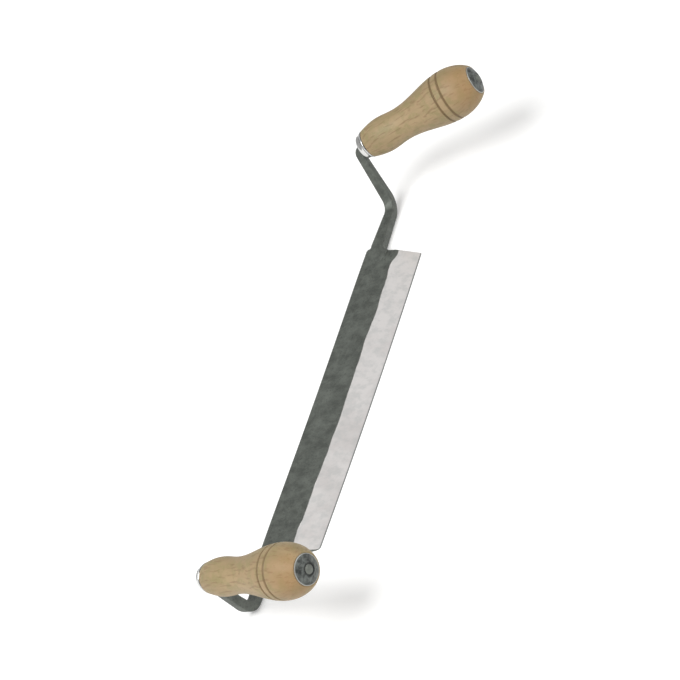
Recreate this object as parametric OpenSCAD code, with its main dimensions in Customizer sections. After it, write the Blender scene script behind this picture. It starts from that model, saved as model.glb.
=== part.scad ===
// Debarking knife: a forged two-handed blade with bent tangs and turned handles.
//
// The blade lies on its flat underside at z = 0. X runs along the blade, the cutting edge faces -Y
// and the ground bevel faces up. The origin is the centre of the flat underside.

/* [Blade] */
// Length of the blade's cutting edge
blade_length = 280; // [200:5:360]
// Width of the blade at its ends, from the back to the edge
blade_width = 43; // [36:0.5:60]
// How far the middle of the cutting edge stands ahead of its corners
edge_crown = 1.4; // [0.5:0.1:4]
// How much further out the blade's back corners are than the corners of its edge
end_slant = 5.5; // [0:0.5:9]
// Thickness of the forged back
spine_thickness = 6; // [5:0.1:7]
// Thickness of the forged face where the ground bevel starts
grind_thickness = 5.2; // [4:0.1:5.8]
// Width of the ground bevel
bevel_width = 18; // [10:0.5:22]
// Thickness left at the cutting edge
edge_thickness = 0.4; // [0.2:0.1:1]
// Radius of the forged corners along the back
spine_round = 1.2; // [0.5:0.1:2]
// Radius of the left corner of the cutting edge
left_corner_radius = 3; // [0.5:0.1:6]
// Radius of the right corner of the cutting edge
right_corner_radius = 1; // [0.5:0.1:6]

/* [Tangs] */
// Step in from the blade's back to the tang's back
tang_inset = 3.4; // [0.5:0.1:5]
// Height of the tang's underside above the blade's underside
tang_lift = 0.3; // [0.1:0.1:1]
// Width of the tang where it leaves the blade
tang_root_width = 10; // [7:0.1:12]
// Thickness of the tang from the blade to the first bend
tang_root_thickness = 7; // [6:0.1:9]
// Width of the tang in the first bend
tang_bend_width = 7; // [5:0.1:9]
// Width of the tang in the second bend
tang_neck_width = 5.6; // [4.6:0.1:6.4]
// Thickness of the tang in the second bend
tang_neck_thickness = 5.6; // [4.6:0.1:6.4]
// Rounding of the bar's corners
bar_round = 0.9; // [0.4:0.1:1.6]
// Distance from the end of the cutting edge to the corner of the first bend
tang_reach = 51; // [40:0.5:80]
// How much further out the corner of the second bend is
tang_lean_out = 12; // [0:0.5:20]
// How much further back the corner of the second bend is
tang_lean_back = 9.2; // [0:0.5:15]
// Height of the corner of the second bend above that of the first
tang_rise = 46.5; // [35:0.5:70]
// Radius of the first bend, at the middle of the bar
first_bend_radius = 12; // [8:0.5:18]
// Radius of the second bend, at the middle of the bar
second_bend_radius = 4.5; // [4.3:0.1:7]
// Radius of the fillet between the tang's front and the blade's end
root_fillet = 5; // [2:0.5:8]
// Length over which the forged shoulder fades into the blade
shoulder_length = 22; // [12:1:40]

/* [Handles] */
// Angle by which the handles splay outward
handle_splay = 15; // [0:1:30]
// Angle by which the handles rise from the blade's plane
handle_rise = 12; // [0:1:30]
// Length of the wood from the neck to its far end
handle_length = 92; // [86:1:130]
// Diameter of the neck
neck_diameter = 20.8; // [20.4:0.1:25]
// Rounding of the wood's edge at the neck
neck_round = 0.6; // [0.2:0.1:1]
// Diameter of the swell behind the neck
swell_diameter = 25.8; // [25.2:0.1:32]
// Distance from the neck to the middle of the swell
swell_position = 14.5; // [10:0.5:20]
// Diameter of the waist
waist_diameter = 23.9; // [20:0.1:25]
// Distance from the neck to the waist
waist_position = 28.5; // [22:0.5:36]
// Largest diameter of the bulb
bulb_diameter = 37; // [30:0.5:46]
// Distance from the neck to the fullest part of the bulb
bulb_position = 71.5; // [60:0.5:76]
// Diameter of the wood round the end cap
end_diameter = 22.6; // [22.4:0.1:28]
// Distance from the neck to the first turned groove
groove_position = 65.5; // [50:0.5:68]
// Distance between the two turned grooves
groove_spacing = 6; // [3:0.5:8]
// Width of a turned groove
groove_width = 1.8; // [0.8:0.1:2.5]
// Depth of a turned groove
groove_depth = 0.9; // [0.4:0.1:1.5]

/* [Ferrules] */
// Length of a ferrule
ferrule_length = 6.4; // [6:0.1:12]
// Outer diameter of a ferrule at its open rim
ferrule_diameter = 19.6; // [18:0.1:20]
// Outer diameter of a ferrule at its closed end, before the corner is rounded
ferrule_end_diameter = 18.2; // [17:0.1:19.6]
// Thickness of the ferrule's sheet
ferrule_wall = 0.9; // [0.6:0.1:1.1]
// Outer radius of the ferrule's drawn corner
ferrule_corner_radius = 3; // [1.5:0.1:3.4]
// Width of the rolled bead at the rim
bead_width = 1.6; // [1:0.1:2.4]
// How far the bead stands out of the ferrule
bead_height = 0.5; // [0.2:0.1:0.8]

/* [End caps] */
// Diameter of an end cap
cap_diameter = 20.6; // [16:0.1:21]
// Height of the cap's straight rim
cap_rim_height = 1.2; // [0.8:0.1:2]
// Height of the cap's dome above its rim
cap_dome_height = 3; // [1.5:0.1:4]
// Thickness of the cap's sheet
cap_wall = 1; // [0.8:0.1:1.6]
// Depth of the turned recess that the cap sits in
cap_recess = 0.9; // [0.5:0.1:1.5]
// Diameter of the dimple under the peened head
dimple_diameter = 9; // [8:0.1:11]
// Depth of the dimple
dimple_depth = 0.8; // [0.4:0.1:1.2]
// Diameter of the peened head
head_diameter = 6.6; // [6:0.1:7.4]
// Height of the peened head
head_height = 1.5; // [0.8:0.1:2]
// Diameter of the tang's spike under the peened head
spike_diameter = 4.6; // [3.5:0.1:5]

/* [Fits] */
// Clearance round the tang in the handle, on the diameter
bore_clearance = 0.4; // [0.2:0.1:1]
// Clearance round the tang in the ferrule, on the diameter
ferrule_hole_clearance = 0.6; // [0.3:0.1:1.2]
// Clearance between ferrule and wood, on the diameter
ferrule_clearance = 0.1; // [0.04:0.02:0.3]
// Clearance round the end cap in its recess, on the diameter
cap_clearance = 0.3; // [0.1:0.1:0.8]
// Clearance round the spike in the end cap, on the diameter
cap_hole_clearance = 0.2; // [0.1:0.1:0.4]

/* [Hidden] */

// Colours, as the object shows them
steel_colour = "#5c5d5a";
wood_colour = "#c0a070";
plate_colour = "#d9dad8";
cap_colour = "#4d504d";

// Smoothness: facets of a turned surface, and of the wide circle that the edge lies on
turned_facets = 96;
crown_facets = 2400;

// How far a cutting solid reaches past what it cuts
overrun = 2;

// Blade
half_length = blade_length / 2;
back_y = blade_width / 2;
crown_radius = (half_length * half_length + edge_crown * edge_crown) / (2 * edge_crown);
crown_centre_y = crown_radius - blade_width / 2 - edge_crown;
bevel_slope = (grind_thickness - edge_thickness) / bevel_width;
face_slope = (spine_thickness - grind_thickness) / (blade_width + edge_crown - bevel_width);

// Tang, on the right side: directions of the blade's slanted end and of the tang's three straight runs
along_end = unit([end_slant, blade_width, 0]);
along_blade = [1, 0, 0];
up_to_handle = unit([tang_lean_out, tang_lean_back, tang_rise]);
along_handle = [
    sin(handle_splay),
    -cos(handle_splay) * cos(handle_rise),
    cos(handle_splay) * sin(handle_rise),
];

// Tang: angle, axis and length of each bend
first_turn = acos(along_blade * up_to_handle);
first_axis = unit(cross(along_blade, up_to_handle));
first_tangent = first_bend_radius * tan(first_turn / 2);
second_turn = acos(up_to_handle * along_handle);
second_axis = unit(cross(up_to_handle, along_handle));
second_tangent = second_bend_radius * tan(second_turn / 2);

// Tang: corners of its centre line
root_y = back_y - tang_inset - tang_root_width / 2;
root_centre = [end_x(root_y), root_y, tang_lift + tang_root_thickness / 2];
first_corner = [half_length + tang_reach, root_y, root_centre.z];
second_corner = first_corner + [tang_lean_out, tang_lean_back, tang_rise];

// Tang: number of rings along each stretch, and points round a quarter of a ring
shoulder_rings = 6;
fillet_rings = 5;
bend_rings = 12;
corner_points = 4;
root_round = 2.6;

// Handle: its neck lies where the second bend ends flush with the inside of the ferrule
neck_centre = second_corner + (second_tangent - ferrule_wall + ferrule_length) * along_handle;

// Tang in the ferrule and the handle: how far the bar reaches from the handle's axis
bar_reach = norm([tang_neck_width, tang_neck_thickness] / 2 - [bar_round, bar_round]) + bar_round;
bend_inside = second_bend_radius - sqrt(
    pow(second_bend_radius - tang_neck_width / 2, 2) - pow(ferrule_wall, 2));
bend_reach = norm([bend_inside, tang_neck_thickness / 2]);
bore_diameter = 2 * bar_reach + bore_clearance;
ferrule_hole_diameter = 2 * bend_reach + ferrule_hole_clearance;

// Handle: distances from the neck along its axis
cap_seat = handle_length - cap_recess;
dimple_floor = cap_seat + cap_rim_height + cap_dome_height - dimple_depth;
spigot_length = ferrule_length - ferrule_wall - ferrule_clearance;
profile_steps = 14;

// Geometry helpers

function unit(v) = v / norm(v);

function blend(a, b, f) = a + (b - a) * f;

// A share that starts and ends level, from 0 to 1
function ease(f) = (1 - cos(180 * f)) / 2;

// A vector turned about a unit axis
function turned(v, axis, angle) =
    v * cos(angle) + cross(axis, v) * sin(angle) + axis * (axis * v) * (1 - cos(angle));

// Points of an arc about a centre
function arc(centre, radius, from, to, steps = 8) = [
    for (i = [0 : steps])
        let (a = blend(from, to, i / steps))
            centre + radius * [cos(a), sin(a)]
];

// Placement of the handle's own frame, with its axis along Z and its neck at the origin
module at_handle() {
    translate(neck_centre)
        rotate([90 - handle_rise, 0, 0])
            rotate([0, handle_splay, 0])
                children();
}

// The left half of the knife mirrors the right half
module left_side() {
    mirror([1, 0, 0])
        children();
}

// Blade

// Distance of the blade's slanted end from the middle of the blade
function end_x(y) = half_length + end_slant * (y + back_y) / blade_width;

// Place of the crowned edge line, from above
function edge_y(x) = crown_centre_y - sqrt(pow(crown_radius, 2) - pow(x, 2));

// Outline from above: straight back, slanted ends, crowned edge with rounded corners
module blade_plan() {
    left = left_corner_radius;
    right = right_corner_radius;
    left_x = left - half_length;
    right_x = half_length - right;
    lean = atan(end_slant / blade_width);
    crown_steps = 24;
    polygon(concat(
        [[end_x(back_y), back_y], [-end_x(back_y), back_y]],
        arc([left_x, edge_y(left_x) + left], left, 180 + lean, 270),
        [
            for (i = [1 : crown_steps - 1])
                let (x = blend(left_x, right_x, i / crown_steps))
                    [x, edge_y(x)]
        ],
        arc([right_x, edge_y(right_x) + right], right, 270, 360 - lean)
    ));
}

// Section across the blade: flat underside, forged face and rounded back, with no bevel yet
module blade_section() {
    front_y = -back_y - edge_crown - overrun;
    face_front_z = spine_thickness - face_slope * (back_y - front_y);
    top = [back_y - spine_round, spine_thickness - spine_round];
    bottom = [back_y - spine_round / 2, spine_round / 2];
    polygon(concat(
        [[front_y, 0]],
        arc(bottom, spine_round / 2, -90, 0),
        arc(top, spine_round, 0, 90),
        [[front_y, face_front_z]]
    ));
}

// The space under the ground bevel, which is a shallow cone about the centre of the edge's arc
module under_bevel() {
    outer = crown_radius + overrun;
    inner = crown_radius - blade_width;
    translate([0, crown_centre_y, 0])
        rotate_extrude($fn = crown_facets)
            polygon([
                [inner, -overrun],
                [outer, -overrun],
                [outer, edge_thickness - bevel_slope * overrun],
                [inner, edge_thickness + bevel_slope * blade_width],
            ]);
}

module blade_body() {
    intersection() {
        linear_extrude(spine_thickness + overrun)
            blade_plan();
        rotate([90, 0, 90])
            translate([0, 0, -end_x(back_y) - overrun])
                linear_extrude(2 * end_x(back_y) + 2 * overrun)
                    blade_section();
        under_bevel();
    }
}

// Tangs

// One ring of the tang: a rectangle with rounded corners across the bar
function ring(centre, across, up, width, thickness, radius) = [
    for (quarter = [0 : 3])
        for (i = [0 : corner_points - 1])
            let (
                a = 90 * (quarter + i / (corner_points - 1)),
                side = quarter == 0 || quarter == 3 ? 1 : -1,
                level = quarter < 2 ? 1 : -1
            )
                centre
                    + across * (side * (width / 2 - radius) + radius * cos(a))
                    + up * (level * (thickness / 2 - radius) + radius * sin(a))
];

// Rings inside the blade's end, rising out of the forged face as the shoulder
function shoulder_stretch() = [
    for (i = [0 : shoulder_rings - 1])
        let (
            f = i / shoulder_rings,
            back = back_y - blend(spine_round + 1, tang_inset - back_fillet(), ease(f)),
            front = back_y - tang_inset - tang_root_width - root_fillet * ease(f),
            top = blend(grind_thickness - 0.4, tang_lift + tang_root_thickness, ease(f)),
            y = (back + front) / 2,
            middle = [end_x(y) - shoulder_length * (1 - f), y, (top + tang_lift) / 2]
        )
            ring(middle, along_end, [0, 0, 1], back - front, top - tang_lift, root_round)
];

// The fillet at the tang's back takes up most of the step from the blade's back
function back_fillet() = 0.8 * tang_inset;

// How far a fillet stands out at a distance from the face that it meets
function flare(radius, distance) =
    distance >= radius ? 0 : radius - sqrt(pow(radius, 2) - pow(radius - distance, 2));

// Rings of the fillet between the blade's slanted end and the tang
function root_stretch() = [
    for (i = [0 : fillet_rings])
        let (
            d = root_fillet * (1 - cos(90 * i / fillet_rings)),
            f = d / (first_corner.x - first_tangent - root_centre.x),
            front = flare(root_fillet, d),
            back = flare(back_fillet(), d),
            width = blend(tang_root_width, tang_bend_width, f) + front + back,
            across = unit(blend(along_end, [0, 1, 0], i / fillet_rings)),
            middle = root_centre + [d, 0, 0] + across * (back - front) / 2
        )
            ring(middle, across, [0, 0, 1], width, tang_root_thickness,
                blend(root_round, bar_round, i / fillet_rings))
];

// Rings round a bend that starts at a point and turns the frame of the bar
function bend_stretch(start, along, across, up, axis, turn, radius, width, thickness) = [
    for (i = [0 : bend_rings])
        let (
            a = turn * i / bend_rings,
            middle = start + radius * (sin(a) * along + (1 - cos(a)) * cross(axis, along))
        )
            ring(middle, turned(across, axis, a), turned(up, axis, a), width, thickness, bar_round)
];

// The tang's rings from the shoulder inside the blade to the spike's tip under the peened head
function tang_rings() =
    let (
        across = turned([0, 1, 0], first_axis, first_turn),
        up = turned([0, 0, 1], first_axis, first_turn),
        spike_across = turned(across, second_axis, second_turn),
        spike_up = turned(up, second_axis, second_turn),
        tip = neck_centre + (dimple_floor + head_height / 2) * along_handle
    )
        concat(
            shoulder_stretch(),
            root_stretch(),
            bend_stretch(first_corner - first_tangent * along_blade, along_blade, [0, 1, 0], [0, 0, 1],
                first_axis, first_turn, first_bend_radius, tang_bend_width, tang_root_thickness),
            bend_stretch(second_corner - second_tangent * up_to_handle, up_to_handle, across, up,
                second_axis, second_turn, second_bend_radius, tang_neck_width, tang_neck_thickness),
            [ring(tip, spike_across, spike_up, spike_diameter, spike_diameter, 0.49 * spike_diameter)]
        );

// A closed skin over a row of rings
module skin(rings) {
    count = len(rings[0]);
    last = len(rings) - 1;
    polyhedron(
        points = [for (r = rings) each r],
        faces = concat(
            [[for (j = [0 : count - 1]) j]],
            [
                for (i = [0 : last - 1])
                    for (j = [0 : count - 1])
                        let (k = (j + 1) % count)
                            [i * count + j, (i + 1) * count + j, (i + 1) * count + k, i * count + k]
            ],
            [[for (j = [count - 1 : -1 : 0]) last * count + j]]
        )
    );
}

// The tang's end, hammered into a low dome over the end cap
module peened_head() {
    radius = head_diameter / 2;
    dome_radius = (radius * radius + head_height * head_height) / (2 * head_height);
    half_angle = asin(radius / dome_radius);
    translate([0, 0, dimple_floor])
        rotate_extrude($fn = turned_facets)
            polygon(concat(
                [[0, 0]],
                arc([0, head_height - dome_radius], dome_radius, 90 - half_angle, 90)
            ));
}

module tang() {
    skin(tang_rings());
    at_handle()
        peened_head();
}

module blade() {
    color(steel_colour)
        union() {
            blade_body();
            tang();
            left_side()
                tang();
        }
}

// Handles

// Radius of the turned wood at a distance from the neck
function wood_radius(z) =
    z < swell_position
        ? blend(neck_diameter, swell_diameter, sin(90 * z / swell_position)) / 2
        : z < waist_position
            ? blend(swell_diameter, waist_diameter,
                ease((z - swell_position) / (waist_position - swell_position))) / 2
            : z < bulb_position
                ? blend(waist_diameter, bulb_diameter,
                    ease((z - waist_position) / (bulb_position - waist_position))) / 2
                : bulb_diameter / 2 * sqrt(1 - pow((z - bulb_position) / bulb_end_length(), 2));

// Half length of the ellipse that closes the bulb, cut off where the end cap sits
function bulb_end_length() =
    (handle_length - bulb_position) / sqrt(1 - pow(end_diameter / bulb_diameter, 2));

// Points of the wood's outline between two distances from the neck, without the first
function wood_stretch(from, to) = [
    for (i = [1 : profile_steps])
        let (z = blend(from, to, i / profile_steps))
            [wood_radius(z), z]
];

// Half of the handle's outline: spigot, neck, swell, waist, bulb and cap recess
module handle_outline() {
    spigot_rim = ferrule_diameter / 2 - ferrule_wall - ferrule_clearance / 2;
    spigot_end = ferrule_end_diameter / 2 - ferrule_wall - ferrule_clearance / 2;
    recess_radius = (cap_diameter + cap_clearance) / 2;
    polygon(concat(
        [
            [0, -spigot_length],
            [spigot_end - ferrule_corner_radius, -spigot_length],
            [spigot_end, ferrule_corner_radius - spigot_length],
            [spigot_rim, 0],
            [neck_diameter / 2 - neck_round, 0],
        ],
        wood_stretch(0, swell_position),
        wood_stretch(swell_position, waist_position),
        wood_stretch(waist_position, bulb_position),
        wood_stretch(bulb_position, handle_length),
        [
            [recess_radius, handle_length],
            [recess_radius, cap_seat],
            [0, cap_seat],
        ]
    ));
}

// A V-shaped groove cut by the point of a turning tool
module turned_groove(z) {
    radius = wood_radius(z);
    translate([0, 0, z])
        rotate_extrude($fn = turned_facets)
            polygon([
                [radius - groove_depth, 0],
                [radius + groove_depth, -groove_width],
                [radius + groove_depth, groove_width],
            ]);
}

module handle() {
    color(wood_colour)
        at_handle()
            difference() {
                rotate_extrude($fn = turned_facets)
                    handle_outline();
                translate([0, 0, -spigot_length - overrun])
                    cylinder(h = spigot_length + handle_length + 2 * overrun, d = bore_diameter,
                        $fn = turned_facets);
                for (i = [0 : 1])
                    turned_groove(groove_position + i * groove_spacing);
            }
}

// Ferrules

// Half section of the drawn cup, with its closed end down and its rolled rim at the wood
module ferrule_outline() {
    rim = ferrule_diameter / 2;
    end = ferrule_end_diameter / 2;
    hole = ferrule_hole_diameter / 2;
    inner_corner = ferrule_corner_radius - ferrule_wall;
    corner_z = ferrule_corner_radius - ferrule_length;
    polygon(concat(
        [[hole, -ferrule_length]],
        arc([end - ferrule_corner_radius, corner_z], ferrule_corner_radius, -90, 0),
        [
            for (i = [0 : 8])
                let (f = i / 8)
                    [rim + bead_height * sin(180 * f), -bead_width * (1 - f)]
        ],
        [[rim - ferrule_wall, 0]],
        arc([end - ferrule_corner_radius, corner_z], inner_corner, 0, -90),
        [[hole, ferrule_wall - ferrule_length]]
    ));
}

module ferrule() {
    color(plate_colour)
        at_handle()
            rotate_extrude($fn = turned_facets)
                ferrule_outline();
}

// End caps

// Height of the cap's dome above the rim's plane, at a radius, for a dome of the given rim radius
function dome_height(radius, rim_radius, height) =
    let (r = (rim_radius * rim_radius + height * height) / (2 * height))
        sqrt(r * r - radius * radius) - (r - height);

// Half section of the pressed cap: straight rim, dome and dimple
module cap_outline() {
    rim = cap_diameter / 2;
    inner_rim = rim - cap_wall;
    hole = (spike_diameter + cap_hole_clearance) / 2;
    dimple = dimple_diameter / 2;
    floor_z = cap_rim_height + cap_dome_height - dimple_depth;
    dome_steps = 8;
    polygon(concat(
        [[hole, floor_z], [dimple - dimple_depth, floor_z]],
        [
            for (i = [0 : dome_steps])
                let (radius = blend(dimple, rim, i / dome_steps))
                    [radius, cap_rim_height + dome_height(radius, rim, cap_dome_height)]
        ],
        [[rim, 0], [inner_rim, 0]],
        [
            for (i = [0 : dome_steps])
                let (radius = blend(inner_rim, dimple - cap_wall / 2, i / dome_steps))
                    [radius, cap_rim_height - cap_wall / 2
                        + dome_height(radius, inner_rim, cap_dome_height - cap_wall / 2)]
        ],
        [[dimple - dimple_depth - cap_wall / 2, floor_z - cap_wall], [hole, floor_z - cap_wall]]
    ));
}

module end_cap() {
    color(cap_colour)
        at_handle()
            translate([0, 0, cap_seat])
                rotate_extrude($fn = turned_facets)
                    cap_outline();
}

blade();
left_side() handle();  // handle_left
handle();  // handle_right
left_side() ferrule();  // ferrule_left
ferrule();  // ferrule_right
left_side() end_cap();  // end_cap_left
end_cap();  // end_cap_right
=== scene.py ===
from math import cos, pi, radians, sin, sqrt, tan

import bmesh
import bpy
from bpy.props import FloatProperty, FloatVectorProperty, PointerProperty
from mathutils import Matrix, Quaternion, Vector


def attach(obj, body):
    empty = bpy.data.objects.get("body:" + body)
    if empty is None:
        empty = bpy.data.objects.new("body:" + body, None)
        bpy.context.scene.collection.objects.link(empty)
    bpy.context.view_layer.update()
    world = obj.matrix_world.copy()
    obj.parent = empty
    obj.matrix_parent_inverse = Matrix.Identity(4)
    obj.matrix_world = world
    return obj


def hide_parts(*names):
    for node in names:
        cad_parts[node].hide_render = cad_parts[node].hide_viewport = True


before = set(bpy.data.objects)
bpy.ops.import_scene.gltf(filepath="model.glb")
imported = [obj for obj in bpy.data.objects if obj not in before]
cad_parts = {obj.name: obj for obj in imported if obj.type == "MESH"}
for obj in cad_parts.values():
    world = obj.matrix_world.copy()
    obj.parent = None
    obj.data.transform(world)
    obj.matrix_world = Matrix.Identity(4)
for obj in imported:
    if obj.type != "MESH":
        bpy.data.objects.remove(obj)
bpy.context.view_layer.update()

bl_info = {
    "name": "Debarking Knife",
    "version": (1, 0, 0),
    "blender": (4, 5, 0),
    "location": "View3D > Sidebar > Knife",
    "description": "Builds a two-handed debarking knife with forged tangs and turned handles",
    "category": "Add Mesh",
}

SIDES = {"left": -1, "right": 1}

# Corners of the frame's solid that are closer than this, in metres, are one
MERGE_DISTANCE = 1e-6

# Faces that meet at more than this angle, in degrees, keep a sharp line
FORGED_SHARP = 24
TURNED_SHARP = 35

# Fineness of the turned pieces
TURNED_STEPS = 160
WOOD_SAMPLES = 260
BEAD_SAMPLES = 16
DOME_SAMPLES = 40
DOME_INNER_SAMPLES = 8

# Fits and the rounded edge at a handle's neck, in metres
SPIGOT_END_CLEARANCE = 0.0001
SPIGOT_SIDE_CLEARANCE = 0.00005
NECK_EDGE_RADIUS = 0.0005

# Grooves in each bulb, and half of a groove at its lips as a share of its width
GROOVES = 2
GROOVE_REACH = 0.55

# The dimple's wall in dimple depths: how far inside the edge it starts, and how wide it is
DIMPLE_WALL_START = 1.6
DIMPLE_WALL_WIDTH = 1.9

# Places of the sockets on the colour Mix node
MIX_SHARE, MIX_FIRST, MIX_SECOND, MIX_RESULT = 0, 6, 7, 2

# Stage, in metres and watts
FLOOR_REACH = 30.0
FLOOR_GAP = 0.0002
FLOOR_COLOUR = (0.86, 0.86, 0.855, 1.0)
FLOOR_GLOW = 0.22
WHITE = (1, 1, 1, 1)
WORLD_STRENGTH = 0.46
LAMP_DIAMETER = 1.8
LAMPS = {"key": ((-1.6, 0.4, 2.6), 82), "fill": ((0.8, -2.2, 1.8), 20)}
CAMERA_PLACE = (-1.946327, -1.425058, 1.729938)
CAMERA_TURN = (0.647204, 0.45355, -0.08917, -0.606191)
CAMERA_LENS = 232.9413
CAMERA_SENSOR = 36
CAMERA_REACH = 50


# Sizes and colours

def length(label, text, metres):
    return FloatProperty(name=label, description=text, default=metres, unit="LENGTH", precision=4)


def angle(label, text, degrees):
    return FloatProperty(name=label, description=text, default=radians(degrees), unit="ROTATION")


def colour(label, text, red, green, blue):
    return FloatVectorProperty(name=label, description=text, default=(red, green, blue),
                               size=3, subtype="COLOR", min=0.0, max=1.0)


class KnifeBlade(bpy.types.PropertyGroup):
    """Sizes of the forging that its finish and the handles' places follow, and its colours"""
    blade_length: length("Edge length", "Length of the cutting edge", 0.280)
    blade_width: length("Blade width", "Width of the blade from its back to the corners of its edge", 0.043)
    edge_crown: length("Edge crown", "How far the middle of the edge stands ahead of its corners", 0.0014)
    bevel_width: length("Bevel width", "Width of the ground bevel", 0.018)
    honed_width: length("Honed width", "Width of the bright strip under the edge", 0.0022)
    grind_wander: length("Grind wander", "How far the grind line strays in all", 0.0042)
    grind_widening: length("Grind widening", "How much wider the bevel is near both ends", 0.0008)
    grind_narrowing: length("Grind narrowing", "How much the bevel draws in at its right end", 0.0030)
    tang_inset: length("Tang inset", "Step in from the blade's back to the tang's back", 0.0034)
    tang_lift: length("Tang lift", "Height of the tang's underside above the blade's", 0.0003)
    tang_root_width: length("Tang width", "Width of the tang where it leaves the blade", 0.010)
    tang_root_thickness: length("Tang thickness", "Thickness of the tang before its first bend", 0.007)
    tang_reach: length("Tang reach", "Distance from the end of the edge to the first bend", 0.051)
    tang_lean_out: length("Tang lean out", "How much further out the second bend is", 0.012)
    tang_lean_back: length("Tang lean back", "How much further back the second bend is", 0.0092)
    tang_rise: length("Tang rise", "Height of the second bend above the first", 0.0465)
    second_bend_radius: length("Second bend radius", "Radius at the middle of the bar", 0.0045)
    scale_colour: colour("Forge scale", "Dark skin of the forging", 0.112, 0.122, 0.108)
    head_colour: colour("Peened heads", "Hammered heads over the end caps", 0.26, 0.27, 0.24)
    ground_colour: colour("Ground steel", "Bright steel of the ground bevel", 0.80, 0.775, 0.76)
    stained_colour: colour("Stained steel", "Faint warm stains on the bevel", 0.62, 0.585, 0.57)
    dull_colour: colour("Dull steel", "Fine grey clouding on the bevel", 0.56, 0.57, 0.56)
    edge_colour: colour("Edge line", "Thin dark line along the cutting edge", 0.13, 0.14, 0.14)


class KnifeHandle(bpy.types.PropertyGroup):
    """Sizes and colours of one turned handle"""
    splay: angle("Splay", "Angle by which the handles splay outward", 15)
    rise: angle("Rise", "Angle by which the handles rise from the blade's plane", 12)
    handle_length: length("Length", "Length of the wood from the neck to its far end", 0.092)
    neck_diameter: length("Neck diameter", "Diameter of the neck", 0.0208)
    swell_diameter: length("Swell diameter", "Diameter of the swell behind the neck", 0.0258)
    swell_position: length("Swell position", "Distance from the neck to the swell", 0.0145)
    waist_diameter: length("Waist diameter", "Diameter of the waist", 0.0239)
    waist_position: length("Waist position", "Distance from the neck to the waist", 0.0285)
    bulb_diameter: length("Bulb diameter", "Largest diameter of the bulb", 0.037)
    bulb_position: length("Bulb position", "Distance from the neck to the fullest part", 0.0715)
    end_diameter: length("End diameter", "Diameter of the wood round the end cap", 0.0226)
    bore_diameter: length("Bore", "Diameter of the bore for the tang", 0.0076)
    groove_position: length("Groove position", "Distance from the neck to the first groove", 0.0655)
    groove_spacing: length("Groove spacing", "Distance between the two grooves", 0.006)
    groove_width: length("Groove width", "Width of a turned groove", 0.0018)
    groove_depth: length("Groove depth", "Depth of a turned groove", 0.0009)
    wood_colour: colour("Wood", "Pale lacquered beech", 0.36, 0.272, 0.15)
    pink_colour: colour("Pink figure", "Broad pinkish figure of the wood", 0.36, 0.245, 0.135)
    olive_colour: colour("Olive blotches", "Small greenish blotches of the wood", 0.235, 0.205, 0.09)
    fleck_colour: colour("Flecks", "Short dark flecks along the grain", 0.20, 0.125, 0.065)
    warm_colour: colour("Warm end", "Warmer wood towards the end of the bulb", 0.31, 0.175, 0.07)
    groove_colour: colour("Grooves", "Darkened bottoms of the grooves", 0.16, 0.105, 0.05)


class KnifeFerrule(bpy.types.PropertyGroup):
    """Sizes and colours of one ferrule"""
    ferrule_length: length("Length", "Length of the ferrule", 0.0064)
    ferrule_diameter: length("Rim diameter", "Outer diameter at the open rim", 0.0196)
    ferrule_end_diameter: length("End diameter", "Outer diameter at the closed end", 0.0182)
    ferrule_hole_diameter: length("Hole", "Diameter of the hole for the tang", 0.0096)
    ferrule_wall: length("Sheet", "Thickness of the sheet", 0.0009)
    ferrule_corner_radius: length("Corner radius", "Outer radius of the drawn corner", 0.003)
    bead_width: length("Bead width", "Width of the rolled bead", 0.0016)
    bead_height: length("Bead height", "How far the bead stands out", 0.0005)
    plate_colour: colour("Plating", "Bright nickel plating", 0.66, 0.66, 0.645)
    # Painted shade in the creases either side of the bead
    crease_shade_colour: colour("Crease shade", "Painted shade in the creases beside the bead", 0.035, 0.036, 0.035)
    # Painted shade at the closed end
    end_shade_colour: colour("Closed end", "Painted shade at the closed end", 0.10, 0.105, 0.10)


class KnifeCap(bpy.types.PropertyGroup):
    """Sizes and colours of one end cap"""
    cap_diameter: length("Diameter", "Diameter of the end cap", 0.0206)
    cap_rim_height: length("Rim height", "Height of the straight rim", 0.0012)
    cap_dome_height: length("Dome height", "Height of the dome above the rim", 0.003)
    cap_wall: length("Sheet", "Thickness of the sheet", 0.001)
    cap_recess: length("Recess", "Depth of the recess in the wood", 0.0009)
    cap_clearance: length("Clearance", "Clearance round the cap, on the diameter", 0.0003)
    dimple_diameter: length("Dimple diameter", "Diameter of the dimple under the head", 0.009)
    dimple_depth: length("Dimple depth", "Depth of the dimple", 0.0008)
    cap_hole_diameter: length("Hole", "Diameter of the hole for the tang's spike", 0.0048)
    cap_colour: colour("Cap", "Dark pressed iron", 0.085, 0.092, 0.086)
    # Painted shade in the dimple round the head
    dimple_shade_colour: colour("Dimple", "Painted shade in the dimple round the head", 0.012, 0.013, 0.012)
    # Painted highlight round the rim
    rim_highlight_colour: colour("Rim", "Painted highlight on the rim", 0.5, 0.5, 0.47)


GROUPS = {"knife_blade": KnifeBlade, "knife_handle": KnifeHandle,
          "knife_ferrule": KnifeFerrule, "knife_cap": KnifeCap}


# Materials

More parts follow.
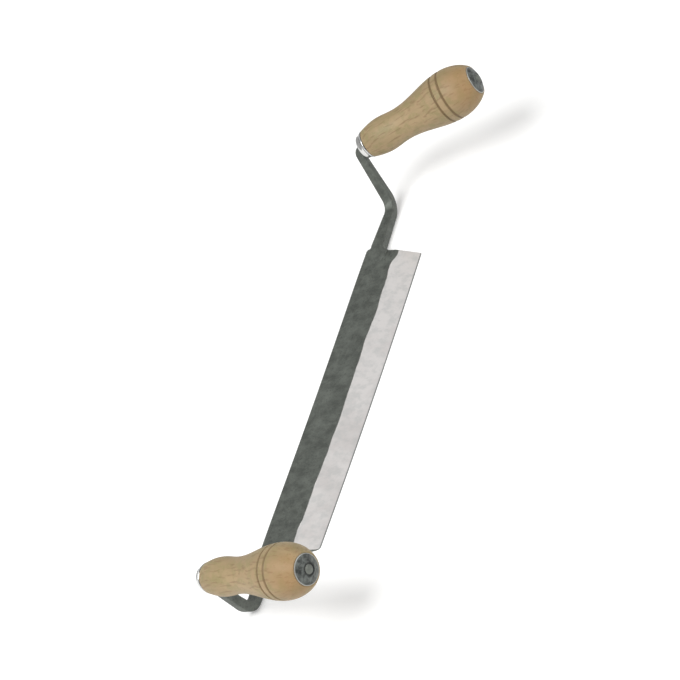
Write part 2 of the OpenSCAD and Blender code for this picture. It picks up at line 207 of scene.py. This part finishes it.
class Number:
    """A number that varies over a surface; arithmetic on it adds Math nodes"""

    def __init__(self, finish, socket):
        self.finish = finish
        self.socket = socket

    def work(self, operation, *values):
        node = self.finish.node("ShaderNodeMath", {"operation": operation}, dict(enumerate(values)))
        return Number(self.finish, node.outputs[0])

    def __add__(self, other):
        return self.work("ADD", self, other)

    __radd__ = __add__

    def __sub__(self, other):
        return self.work("SUBTRACT", self, other)

    def __rsub__(self, other):
        return self.work("SUBTRACT", other, self)

    def __mul__(self, other):
        return self.work("MULTIPLY", self, other)

    __rmul__ = __mul__

    def __truediv__(self, other):
        return self.work("DIVIDE", self, other)

    def __rtruediv__(self, other):
        return self.work("DIVIDE", other, self)

    def __abs__(self):
        return self.work("ABSOLUTE", self)

    def root(self):
        return self.work("SQRT", self)

    def step(self, low, high):
        """A smooth step from 0 at low to 1 at high"""
        node = self.finish.node("ShaderNodeMapRange", {"interpolation_type": "SMOOTHSTEP"},
                                {0: self, 1: low, 2: high, 3: 0.0, 4: 1.0})
        return Number(self.finish, node.outputs[0])


class Finish:
    """A material and the ways to add nodes to it"""

    def __init__(self, name, constants):
        self.material = bpy.data.materials.new(name)
        self.material.use_nodes = True
        self.tree = self.material.node_tree
        self.tree.nodes.clear()
        self.place = self.node("ShaderNodeTexCoord").outputs["Object"]
        self.output = self.node("ShaderNodeOutputMaterial")
        self.shader = self.node("ShaderNodeBsdfPrincipled", {}, constants)
        self.feed(self.output.inputs["Surface"], self.shader.outputs[0])

    def node(self, kind, settings=None, values=None):
        """Adds a node, its settings first and then the values or links of its sockets"""
        node = self.tree.nodes.new(kind)
        for key, value in (settings or {}).items():
            setattr(node, key, value)
        for key, value in (values or {}).items():
            self.feed(node.inputs[key], value)
        return node

    def feed(self, socket, value):
        """Links a socket to a number or another socket, or gives it a fixed value"""
        if isinstance(value, Number):
            value = value.socket
        if isinstance(value, bpy.types.NodeSocket):
            self.tree.links.new(value, socket)
        else:
            socket.default_value = value

    def noise(self, scale, detail=4.0, roughness=0.5, stretch=(1.0, 1.0, 1.0), shift=0.0):
        """Noise over the piece's own space; a shift keeps two layers from looking alike"""
        moved = self.node("ShaderNodeMapping", {}, {"Vector": self.place, "Scale": stretch,
                                                    "Location": (shift, 2 * shift, 3 * shift)})
        made = self.node("ShaderNodeTexNoise", {}, {"Vector": moved.outputs[0], "Scale": scale,
                                                    "Detail": detail, "Roughness": roughness})
        return Number(self, made.outputs["Fac"])

    def parts(self, vector):
        """The X, Y and Z of a vector"""
        split = self.node("ShaderNodeSeparateXYZ", {}, {0: vector})
        return [Number(self, socket) for socket in split.outputs]

    def facing_up(self):
        """How far the surface faces up, from -1 to 1"""
        return self.parts(self.node("ShaderNodeTexCoord").outputs["Normal"])[2]

    def mix(self, share, first, second):
        """Mixes two colours, each of them three numbers or a socket"""
        first, second = [c if isinstance(c, bpy.types.NodeSocket) else (*c, 1.0)
                         for c in (first, second)]
        node = self.node("ShaderNodeMix", {"data_type": "RGBA"},
                         {MIX_SHARE: share, MIX_FIRST: first, MIX_SECOND: second})
        return node.outputs[MIX_RESULT]

    def paint(self, base, roughness, height, distance):
        """Feeds the shader; the height is raised by the distance, in metres"""
        bump = self.node("ShaderNodeBump", {}, {"Strength": 1.0, "Distance": distance, "Height": height})
        self.feed(self.shader.inputs["Base Color"], base)
        self.feed(self.shader.inputs["Roughness"], roughness)
        self.feed(self.shader.inputs["Normal"], bump.outputs[0])
        return self.material


def tinted(shade, strength):
    """A colour made darker or lighter"""
    return tuple(strength * c for c in shade)


def forged_steel(blade):
    """Dark forge scale with a bright ground bevel along the edge"""
    finish = Finish("forged_steel", {"Metallic": 0.55, "Specular IOR Level": 0.5})
    x, y, _ = finish.parts(finish.place)
    along = abs(x)
    half = blade.blade_length / 2
    crown_radius = (half ** 2 + blade.edge_crown ** 2) / (2 * blade.edge_crown)
    # The crown is so flat that a parabola gives the distance behind the edge
    behind = y + blade.blade_width / 2 + blade.edge_crown - x * x / (2 * crown_radius)

    # Where the steel is bright: the bevel on top, and the honed strip underneath
    up = finish.facing_up()
    top = up.step(0.05, 0.3)
    under = 1 - up.step(-0.9, -0.2)
    wander = (finish.noise(30.0, 3.0, 0.55) - 0.5) * blade.grind_wander
    ends = ((along / half).step(0.80, 0.88) * blade.grind_widening
            - (x / half).step(0.91, 0.99) * blade.grind_narrowing)
    on_bevel = 1 - (behind - wander - ends).step(blade.bevel_width - 0.0003, blade.bevel_width + 0.0006)
    honed = 1 - behind.step(blade.honed_width, blade.honed_width + 0.0012)
    in_blade = 1 - along.step(half + 0.0035, half + 0.0040)
    ground = (top * on_bevel + under * honed) * in_blade
    forged = 1 - ground
    edge_line = 1 - behind.step(0.0003, 0.0007)
    heads = along.step(half + 0.075, half + 0.076)

    mottle = finish.noise(140.0, 8.0, 0.72)
    specks = finish.noise(520.0, 3.0, 0.6).step(0.54, 0.68)
    worn = finish.noise(34.0, 6.0, 0.66, shift=3.0).step(0.48, 0.72)
    scale = finish.mix(mottle.step(0.32, 0.68), tinted(blade.scale_colour, 0.74),
                       tinted(blade.scale_colour, 1.3))
    scale = finish.mix(worn * 0.35, scale, tinted(blade.scale_colour, 1.9))
    scale = finish.mix(specks * 0.35, scale, tinted(blade.scale_colour, 0.35))
    scale = finish.mix(heads * 0.3, scale, blade.head_colour)

    stain = finish.noise(26.0, 5.0, 0.6, shift=7.0).step(0.42, 0.7)
    fine = finish.noise(160.0, 4.0, 0.6, shift=5.0)
    steel = finish.mix(stain * 0.7, blade.ground_colour, blade.stained_colour)
    steel = finish.mix(fine.step(0.4, 0.7) * 0.5, steel, blade.dull_colour)
    steel = finish.mix(edge_line * 0.75, steel, blade.edge_colour)

    strokes = finish.noise(900.0, 2.0, 0.5, stretch=(1.0, 0.05, 0.2))
    hammer = finish.noise(85.0, 4.0, 0.55, shift=1.0)
    rough = ground * (0.36 + 0.1 * fine) + forged * (0.46 + 0.22 * mottle)
    height = forged * (hammer + mottle * 0.35 - specks * 0.12) + ground * strokes * 0.05
    return finish.paint(finish.mix(ground, scale, steel), rough, height, distance=0.0006)


def turned_beech(handle):
    """Pale lacquered beech with short flecks and darkened grooves"""
    finish = Finish("beech", {"Specular IOR Level": 0.3, "Coat Weight": 0.08, "Coat Roughness": 0.4})
    _, _, z = finish.parts(finish.place)
    figure = finish.noise(95.0, 5.0, 0.6, stretch=(1.0, 1.0, 0.16))
    broad = finish.noise(30.0, 3.0, 0.5, stretch=(1.0, 1.0, 0.45), shift=4.0)
    blotch = finish.noise(170.0, 5.0, 0.68, shift=9.0)
    flecks = finish.noise(560.0, 2.0, 0.5, stretch=(1.0, 1.0, 0.14), shift=2.0).step(0.54, 0.66)
    warm = z.step(handle.bulb_position - 0.004, handle.handle_length) * broad.step(0.3, 0.6)
    grooves = 0
    for turn in range(GROOVES):
        away = abs(z - (handle.groove_position + turn * handle.groove_spacing))
        grooves = grooves + (1 - away.step(0.0003, 0.0013))

    base = finish.mix(figure.step(0.36, 0.66) * 0.75, handle.wood_colour,
                      tinted(handle.wood_colour, 0.7))
    base = finish.mix(broad.step(0.42, 0.66) * 0.5, base, handle.pink_colour)
    base = finish.mix(blotch.step(0.42, 0.64) * 0.6, base, handle.olive_colour)
    base = finish.mix(flecks * 0.5, base, handle.fleck_colour)
    base = finish.mix(warm * 0.6, base, handle.warm_colour)
    base = finish.mix(grooves * 0.75, base, handle.groove_colour)
    return finish.paint(base, 0.46 + 0.2 * figure, figure * 0.5 - flecks * 0.5, distance=0.00012)


def nickel_plate(ferrule):
    """Bright plating, fine drawing lines, a dull bloom, painted shade beside the bead and at the closed end
    """
    finish = Finish("plated_ferrule", {"Metallic": 1.0})
    _, _, z = finish.parts(finish.place)
    bloom = finish.noise(220.0, 4.0, 0.6)
    lines = finish.noise(1500.0, 2.0, 0.5, stretch=(0.1, 0.1, 1.0))
    # Painted shade in the creases either side of the bead
    crease_shade = 0
    for place in (-0.0001, -ferrule.bead_width - 0.0002):
        crease_shade = crease_shade + (1 - abs(z - place).step(0.00012, 0.00042))
    # Painted shade towards the closed end
    shaded_end = 1 - (z + ferrule.ferrule_length).step(0.0, 0.0016)

    base = finish.mix(bloom.step(0.45, 0.75) * 0.5, ferrule.plate_colour,
                      tinted(ferrule.plate_colour, 0.72))
    base = finish.mix(crease_shade * 0.9, base, ferrule.crease_shade_colour)
    base = finish.mix(shaded_end * 0.8, base, ferrule.end_shade_colour)
    return finish.paint(base, 0.14 + 0.16 * bloom, lines * 0.3 + bloom, distance=0.00006)


def dark_iron(cap):
    """Dark mottled iron rubbed brighter in patches, a painted rim highlight and painted shade in the dimple
    """
    finish = Finish("dark_cap", {"Metallic": 0.6})
    x, y, _ = finish.parts(finish.place)
    out = (x * x + y * y).root()
    mottle = finish.noise(330.0, 5.0, 0.62)
    rubbed = finish.noise(140.0, 4.0, 0.6, shift=6.0)
    dimple = cap.dimple_diameter / 2
    edge = cap.cap_diameter / 2
    # Painted shade in a ring round the head, inside the dimple
    ring = out.step(0.0026, 0.0032) * (1 - out.step(dimple - 0.0006, dimple + 0.0006))
    # Painted highlight round the rim
    rim = out.step(edge - 0.0007, edge - 0.0001)

    base = finish.mix(mottle.step(0.35, 0.68), tinted(cap.cap_colour, 0.45), tinted(cap.cap_colour, 1.7))
    base = finish.mix(rubbed.step(0.55, 0.75) * 0.5, base, tinted(cap.cap_colour, 3.0))
    base = finish.mix(ring * 0.75, base, cap.dimple_shade_colour)
    base = finish.mix(rim * 0.8, base, cap.rim_highlight_colour)
    return finish.paint(base, 0.32 + 0.25 * mottle, mottle + rubbed, distance=0.00025)


def white_floor():
    """A pale floor that shows as white and keeps the knife's shadow"""
    finish = Finish("floor", {"Base Color": FLOOR_COLOUR, "Roughness": 0.9, "Specular IOR Level": 0.1})
    ray = finish.node("ShaderNodeLightPath").outputs
    seen = 0
    for kind in ("Is Camera Ray", "Is Glossy Ray", "Is Transmission Ray"):
        seen = Number(finish, ray[kind]) + seen
    glow = finish.node("ShaderNodeEmission", {}, {"Color": WHITE, "Strength": seen * FLOOR_GLOW})
    both = finish.node("ShaderNodeAddShader", {}, {0: finish.shader.outputs[0], 1: glow.outputs[0]})
    finish.feed(finish.output.inputs["Surface"], both.outputs[0])
    return finish.material


# Shapes

def blend(first, second, share):
    return first + (second - first) * share


def ease(share):
    """A share from 0 to 1 that starts and ends level"""
    return (1 - cos(pi * share)) / 2


def arc(centre, radius, start, end, steps):
    """Points of an arc about (r, z), with its angles in degrees"""
    angles = [radians(blend(start, end, i / steps)) for i in range(steps + 1)]
    return [(centre[0] + radius * cos(a), centre[1] + radius * sin(a)) for a in angles]


def add_piece(name, mesh, matrix, nodes, material, sharp_degrees):
    mesh.shade_smooth()
    mesh.set_sharp_from_angle(angle=radians(sharp_degrees))
    mesh.materials.append(material)
    piece = bpy.data.objects.new(name, mesh)
    bpy.context.scene.collection.objects.link(piece)
    piece.matrix_world = matrix
    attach(piece, "root")
    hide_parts(*nodes)


def turned_mesh(name, outline):
    """Revolves a closed outline of (r, z) points about the Z axis"""
    count = len(outline)
    points = []
    faces = []
    for i in range(TURNED_STEPS):
        turn = 2 * pi * i / TURNED_STEPS
        points += [(r * cos(turn), r * sin(turn), z) for r, z in outline]
        j = (i + 1) % TURNED_STEPS
        for k in range(count):
            m = (k + 1) % count
            faces.append((i * count + k, j * count + k, j * count + m, i * count + m))
    mesh = bpy.data.meshes.new(name)
    mesh.from_pydata(points, [], faces)
    mesh.validate()
    shell = bmesh.new()
    shell.from_mesh(mesh)
    bmesh.ops.recalc_face_normals(shell, faces=shell.faces)
    shell.to_mesh(mesh)
    shell.free()
    return mesh


def handle_frame(blade, handle, ferrule, side):
    """Where a handle's neck is, with its axis along Z"""
    turn_up = Matrix.Rotation(radians(90) - handle.rise, 4, "X")
    turn_out = Matrix.Rotation(handle.splay, 4, "Y")
    turned = turn_up @ turn_out
    along_handle = (turned @ Vector((0, 0, 1, 0))).to_3d()
    lean = Vector((blade.tang_lean_out, blade.tang_lean_back, blade.tang_rise))
    root_y = blade.blade_width / 2 - blade.tang_inset - blade.tang_root_width / 2
    first_corner = Vector((blade.blade_length / 2 + blade.tang_reach, root_y,
                           blade.tang_lift + blade.tang_root_thickness / 2))
    tangent = blade.second_bend_radius * tan(lean.angle(along_handle) / 2)
    neck = first_corner + lean + (tangent - ferrule.ferrule_wall + ferrule.ferrule_length) * along_handle
    matrix = Matrix.Translation(neck) @ turned
    if side < 0:
        # The right handle's frame, mirrored from side to side but still right-handed
        mirror = Matrix.Scale(-1, 4, (1, 0, 0))
        matrix = mirror @ matrix @ mirror
    return matrix


def wood_radius(handle, z):
    """Radius of the turned wood at a distance from the neck, without its grooves"""
    if z < handle.swell_position:
        share = sin(pi / 2 * z / handle.swell_position)
        return blend(handle.neck_diameter, handle.swell_diameter, share) / 2
    if z < handle.waist_position:
        share = (z - handle.swell_position) / (handle.waist_position - handle.swell_position)
        return blend(handle.swell_diameter, handle.waist_diameter, ease(share)) / 2
    if z < handle.bulb_position:
        share = (z - handle.waist_position) / (handle.bulb_position - handle.waist_position)
        return blend(handle.waist_diameter, handle.bulb_diameter, ease(share)) / 2
    end = (handle.handle_length - handle.bulb_position) / sqrt(
        1 - (handle.end_diameter / handle.bulb_diameter) ** 2)
    return handle.bulb_diameter / 2 * sqrt(1 - ((z - handle.bulb_position) / end) ** 2)


def groove_cut(handle, z):
    """Depth of the rounded grooves at a distance from the neck"""
    cut = 0.0
    for turn in range(GROOVES):
        place = handle.groove_position + turn * handle.groove_spacing
        away = abs(z - place) / (GROOVE_REACH * handle.groove_width)
        if away < 1:
            cut += handle.groove_depth * (1 - away ** 2) ** 1.5
    return cut


def handle_outline(handle, ferrule, cap):
    """Spigot in the ferrule, neck, swell, waist and grooved bulb, the cap's recess and the bore"""
    spigot = ferrule.ferrule_length - ferrule.ferrule_wall - SPIGOT_END_CLEARANCE
    spigot_radius = ferrule.ferrule_end_diameter / 2 - ferrule.ferrule_wall - SPIGOT_SIDE_CLEARANCE
    rim_radius = ferrule.ferrule_diameter / 2 - ferrule.ferrule_wall - SPIGOT_SIDE_CLEARANCE
    corner = ferrule.ferrule_corner_radius
    bore = handle.bore_diameter / 2
    recess = (cap.cap_diameter + cap.cap_clearance) / 2
    seat = handle.handle_length - cap.cap_recess
    neck = handle.neck_diameter / 2
    edge = NECK_EDGE_RADIUS
    points = [(bore, -spigot), (spigot_radius - corner, -spigot), (spigot_radius, corner - spigot),
              (rim_radius, 0.0)]
    points += arc((neck - edge, edge), edge, -90, -8, 5)
    for i in range(1, WOOD_SAMPLES + 1):
        z = blend(edge, handle.handle_length, i / WOOD_SAMPLES)
        points.append((wood_radius(handle, z) - groove_cut(handle, z), z))
    return points + [(recess, handle.handle_length), (recess, seat), (bore, seat)]


def ferrule_outline(ferrule):
    """Rounded lip at the hole, drawn corner, side, rolled bead and the inside"""
    rim = ferrule.ferrule_diameter / 2
    end = ferrule.ferrule_end_diameter / 2
    hole = ferrule.ferrule_hole_diameter / 2
    corner = ferrule.ferrule_corner_radius
    wall = ferrule.ferrule_wall
    corner_centre = (end - corner, corner - ferrule.ferrule_length)
    lip = wall / 4
    points = arc((hole + lip, lip - ferrule.ferrule_length), lip, -180, -90, 4)
    points += arc(corner_centre, corner, -90, 0, 14)
    for i in range(BEAD_SAMPLES + 1):
        share = i / BEAD_SAMPLES
        points.append((rim + ferrule.bead_height * sin(pi * share), -ferrule.bead_width * (1 - share)))
    points += [(rim - wall, 0.0)]
    points += arc(corner_centre, corner - wall, 0, -90, 10)
    return points + [(hole, wall - ferrule.ferrule_length)]


def dome_height(radius, rim_radius, height):
    """Height of a dome above the plane of its rim"""
    ball = (rim_radius ** 2 + height ** 2) / (2 * height)
    return sqrt(ball ** 2 - radius ** 2) - (ball - height)


def cap_outline(cap):
    """Dimple, dome, straight rim and the inside"""
    rim = cap.cap_diameter / 2
    inner_rim = rim - cap.cap_wall
    inner_rise = cap.cap_dome_height - cap.cap_wall / 2
    hole = cap.cap_hole_diameter / 2
    dimple = cap.dimple_diameter / 2
    flat = dimple - DIMPLE_WALL_START * cap.dimple_depth
    floor = cap.cap_rim_height + cap.cap_dome_height - cap.dimple_depth
    points = [(hole, floor)]
    for i in range(DOME_SAMPLES + 1):
        radius = blend(flat, rim, i / DOME_SAMPLES)
        full = cap.cap_rim_height + dome_height(radius, rim, cap.cap_dome_height)
        share = min(1.0, (radius - flat) / (DIMPLE_WALL_WIDTH * cap.dimple_depth))
        points.append((radius, blend(floor, full, ease(share))))
    points += [(rim, 0.0), (inner_rim, 0.0)]
    for i in range(DOME_INNER_SAMPLES + 1):
        radius = blend(inner_rim, dimple, i / DOME_INNER_SAMPLES)
        points.append((radius, cap.cap_rim_height - cap.cap_wall / 2
                       + dome_height(radius, inner_rim, inner_rise)))
    return points + [(flat, floor - cap.cap_wall), (hole, floor - cap.cap_wall)]


# Pieces

def all_sizes(context):
    """The sizes of the blade, a handle, a ferrule and an end cap"""
    return [getattr(context.scene, group) for group in GROUPS]


class KNIFE_OT_blade(bpy.types.Operator):
    """Builds the forging, blade, tangs and peened heads, by smoothing the frame's solid"""
    bl_idname = "knife.blade"
    bl_label = "Blade"

    def execute(self, context):
        forging = bmesh.new()
        forging.from_mesh(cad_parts["blade"].data)
        bmesh.ops.remove_doubles(forging, verts=forging.verts, dist=MERGE_DISTANCE)
        forging.verts.index_update()
        mesh = bpy.data.meshes.new("forging")
        mesh.from_pydata([v.co.copy() for v in forging.verts], [],
                         [[v.index for v in face.verts] for face in forging.faces])
        forging.free()
        add_piece("forged_blade", mesh, Matrix.Identity(4), ["blade"],
                  forged_steel(context.scene.knife_blade), FORGED_SHARP)
        return {"FINISHED"}


class KNIFE_OT_handles(bpy.types.Operator):
    """Builds the two turned handles"""
    bl_idname = "knife.handles"
    bl_label = "Handles"

    def execute(self, context):
        blade, handle, ferrule, cap = all_sizes(context)
        material = turned_beech(handle)
        for side, sign in SIDES.items():
            mesh = turned_mesh("wood_" + side, handle_outline(handle, ferrule, cap))
            add_piece("turned_handle_" + side, mesh, handle_frame(blade, handle, ferrule, sign),
                      ["handle_" + side], material, TURNED_SHARP)
        return {"FINISHED"}


class KNIFE_OT_ferrules(bpy.types.Operator):
    """Builds the two drawn ferrules"""
    bl_idname = "knife.ferrules"
    bl_label = "Ferrules"

    def execute(self, context):
        blade, handle, ferrule, _ = all_sizes(context)
        material = nickel_plate(ferrule)
        for side, sign in SIDES.items():
            mesh = turned_mesh("cup_" + side, ferrule_outline(ferrule))
            add_piece("drawn_ferrule_" + side, mesh, handle_frame(blade, handle, ferrule, sign),
                      ["ferrule_" + side], material, TURNED_SHARP)
        return {"FINISHED"}


class KNIFE_OT_end_caps(bpy.types.Operator):
    """Builds the two domed end caps"""
    bl_idname = "knife.end_caps"
    bl_label = "End Caps"

    def execute(self, context):
        blade, handle, ferrule, cap = all_sizes(context)
        material = dark_iron(cap)
        seat = Matrix.Translation((0, 0, handle.handle_length - cap.cap_recess))
        for side, sign in SIDES.items():
            mesh = turned_mesh("dome_" + side, cap_outline(cap))
            add_piece("domed_cap_" + side, mesh, handle_frame(blade, handle, ferrule, sign) @ seat,
                      ["end_cap_" + side], material, TURNED_SHARP)
        return {"FINISHED"}


def lay_floor(scene):
    reach = FLOOR_REACH
    mesh = bpy.data.meshes.new("floor")
    mesh.from_pydata([(-reach, -reach, 0), (reach, -reach, 0), (reach, reach, 0), (-reach, reach, 0)],
                     [], [(0, 1, 2, 3)])
    mesh.materials.append(white_floor())
    floor = bpy.data.objects.new("floor", mesh)
    floor.location.z = -FLOOR_GAP
    scene.collection.objects.link(floor)


def light_room(scene):
    world = bpy.data.worlds.new("pale_room")
    world.use_nodes = True
    tree = world.node_tree
    tree.nodes.clear()
    out = tree.nodes.new("ShaderNodeOutputWorld")
    back = tree.nodes.new("ShaderNodeBackground")
    back.inputs["Color"].default_value = WHITE
    back.inputs["Strength"].default_value = WORLD_STRENGTH
    tree.links.new(back.outputs[0], out.inputs[0])
    scene.world = world


def hang_softbox(scene, name, place, watts):
    """A round soft lamp that faces the middle of the frame"""
    light = bpy.data.lights.new(name, "AREA")
    light.shape = "DISK"
    light.size = LAMP_DIAMETER
    light.energy = watts
    lamp = bpy.data.objects.new(name, light)
    lamp.location = place
    lamp.rotation_euler = (-Vector(place)).to_track_quat("-Z", "Y").to_euler()
    scene.collection.objects.link(lamp)


def set_camera(scene):
    data = bpy.data.cameras.new("camera")
    data.lens = CAMERA_LENS
    data.sensor_width = CAMERA_SENSOR
    data.clip_end = CAMERA_REACH
    camera = bpy.data.objects.new("camera", data)
    camera.location = CAMERA_PLACE
    camera.rotation_mode = "QUATERNION"
    camera.rotation_quaternion = Quaternion(CAMERA_TURN)
    scene.collection.objects.link(camera)
    scene.camera = camera


class KNIFE_OT_stage(bpy.types.Operator):
    """Builds the floor, the pale world, the lamps and the camera"""
    bl_idname = "knife.stage"
    bl_label = "Stage"

    def execute(self, context):
        scene = context.scene
        lay_floor(scene)
        light_room(scene)
        for name, (place, watts) in LAMPS.items():
            hang_softbox(scene, name, place, watts)
        set_camera(scene)
        scene.view_settings.view_transform = "Standard"
        return {"FINISHED"}


class KNIFE_PT_pieces(bpy.types.Panel):
    """Lists the pieces of the knife"""
    bl_idname = "KNIFE_PT_pieces"
    bl_label = "Debarking Knife"
    bl_space_type = "VIEW_3D"
    bl_region_type = "UI"
    bl_category = "Knife"

    def draw(self, context):
        for operator in OPERATORS:
            self.layout.operator(operator.bl_idname)


OPERATORS = (KNIFE_OT_blade, KNIFE_OT_handles, KNIFE_OT_ferrules, KNIFE_OT_end_caps, KNIFE_OT_stage)
CLASSES = tuple(GROUPS.values()) + OPERATORS + (KNIFE_PT_pieces,)


def register():
    for item in CLASSES:
        bpy.utils.register_class(item)
    for name, group in GROUPS.items():
        setattr(bpy.types.Scene, name, PointerProperty(type=group))


def unregister():
    for name in GROUPS:
        delattr(bpy.types.Scene, name)
    for item in reversed(CLASSES):
        bpy.utils.unregister_class(item)


def main():
    register()
    bpy.ops.knife.blade()
    bpy.ops.knife.handles()
    bpy.ops.knife.ferrules()
    bpy.ops.knife.end_caps()
    bpy.ops.knife.stage()
    bpy.context.view_layer.update()


if __name__ == "__main__":
    main()
